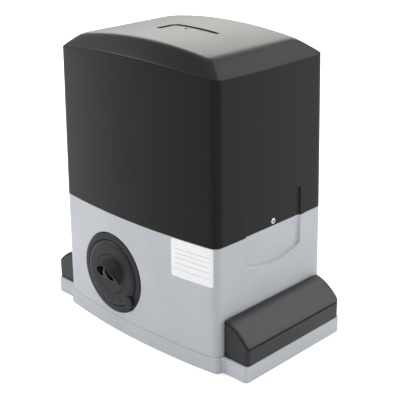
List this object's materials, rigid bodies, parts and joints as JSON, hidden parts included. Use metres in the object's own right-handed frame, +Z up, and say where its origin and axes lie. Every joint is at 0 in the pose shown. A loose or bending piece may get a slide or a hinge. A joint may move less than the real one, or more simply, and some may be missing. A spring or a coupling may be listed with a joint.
{
  "type": "sliding gate motor",
  "caption": "Sliding gate opener: worm gearbox and motor under a lift-off cover on a bolted base, with a rear pinion and a front manual release.",
  "frame": {"origin": "middle of the base's underside, where it stands on its foundation plate", "axes": "+X along the gate, to the right as seen from the release; -Y is the release side; +Y is the gate side, where the pinion is; +Z is up"},
  "size_m": [0.3626, 0.2648, 0.3919],
  "materials": {
    "cover_black": "fine matte texture",
    "lid_black": "fine matte texture",
    "release_black": "satin",
    "base_grey": "light grey powder coat",
    "label_white": "satin film",
    "zinc_steel": "bright zinc",
    "tool_steel": "ground",
    "lock_brass": "turned",
    "cast_aluminium": "as cast",
    "wheel_bronze": "machined bronze",
    "core_steel": "stacked laminations",
    "copper_wire": "enamelled copper",
    "seal_rubber": "matte",
    "board_green": "solder mask",
    "part_black": "moulded",
    "part_white": "moulded",
    "terminal_green": "moulded",
    "relay_blue": "moulded",
    "display_glass": "tinted window"
  },
  "bodies": {
    "base": {"base_housing": "base_grey", "rating_label": "label_white", "release_bezel": "release_black", "release_plate": "release_black", "lock_barrel": "lock_brass", "flap_pin": "zinc_steel", "gearcase": "cast_aluminium", "gearcase_cover": "cast_aluminium", "gearcase_screws": "zinc_steel", "gearbox_bolts": "zinc_steel", "front_bearing": "tool_steel", "rear_bearing": "tool_steel", "shaft_seal": "seal_rubber", "worm_lower_bearing": "tool_steel", "worm_upper_bearing": "tool_steel", "motor_casing": "cast_aluminium", "stator_core": "core_steel", "stator_windings": "copper_wire", "motor_end_cap": "cast_aluminium", "motor_top_bearing": "tool_steel", "motor_cap_screws": "zinc_steel", "encoder_sensor": "part_black", "run_capacitor": "part_white", "capacitor_clip": "zinc_steel", "transformer": "core_steel", "transformer_clamp": "zinc_steel", "board_carrier": "part_black", "control_board": "board_green", "board_screws": "zinc_steel", "terminal_blocks": "terminal_green", "board_relays": "relay_blue", "board_fuse": "part_white", "board_microchip": "part_black", "board_display": "display_glass", "radio_receiver": "board_green", "limit_sensor": "part_black", "earth_stud": "lock_brass", "cable_grommet": "seal_rubber"},
    "cover": {"cover_shell": "cover_black", "cover_screws": "zinc_steel", "cover_clamp_nuts": "zinc_steel"},
    "right_lid": {"right_bolt_cover": "lid_black"},
    "left_lid": {"left_bolt_cover": "lid_black"},
    "knob": {"release_knob": "release_black", "release_spindle": "zinc_steel"},
    "selector": {"clutch_selector": "tool_steel"},
    "key_flap": {"key_cover": "release_black"},
    "lock_core": {"lock_plug": "lock_brass"},
    "output": {"output_shaft": "tool_steel", "worm_wheel": "wheel_bronze", "drive_pinion": "zinc_steel", "pinion_key": "tool_steel", "pinion_bolt": "zinc_steel", "pinion_washer": "zinc_steel"},
    "rotor": {"rotor_shaft": "tool_steel", "rotor_core": "core_steel", "worm": "tool_steel", "encoder_disc": "part_black"}
  },
  "joints": [
    {"name": "cover_lift", "type": "slide", "parent": "base", "child": "cover", "axis": [0, 0, 1], "range_m": [0, 0.25]},
    {"name": "right_lid_lift", "type": "slide", "parent": "base", "child": "right_lid", "axis": [0, 0, 1], "range_m": [0, 0.06]},
    {"name": "left_lid_lift", "type": "slide", "parent": "base", "child": "left_lid", "axis": [0, 0, 1], "range_m": [0, 0.06]},
    {"name": "knob_turn", "type": "hinge", "parent": "base", "child": "knob", "pos_m": [-0.038, -0.112, 0.081], "axis": [0, -1, 0], "range_deg": [0, 126]},
    {"name": "selector_slide", "type": "slide", "parent": "base", "child": "selector", "axis": [0, 1, 0], "range_m": [0, 0.006]},
    {"name": "key_flap_swing", "type": "hinge", "parent": "base", "child": "key_flap", "pos_m": [-0.0052, -0.1129, 0.05825], "axis": [0, -1, 0], "range_deg": [0, 180]},
    {"name": "lock_turn", "type": "hinge", "parent": "base", "child": "lock_core", "pos_m": [-0.0052, -0.11, 0.0516], "axis": [0, -1, 0], "range_deg": [0, 90]},
    {"name": "output_turn", "type": "hinge", "parent": "base", "child": "output", "pos_m": [-0.038, 0.042, 0.081], "axis": [0, 1, 0], "continuous": true},
    {"name": "rotor_spin", "type": "hinge", "parent": "base", "child": "rotor", "pos_m": [0.012, 0.042, 0.2], "axis": [0, 0, 1], "continuous": true}
  ],
  "couplings": [
    {"joint": "knob_turn", "follows": "selector_slide", "rad_per_m": 349.07},
    {"joint": "rotor_spin", "follows": "output_turn", "ratio": 32}
  ]
}
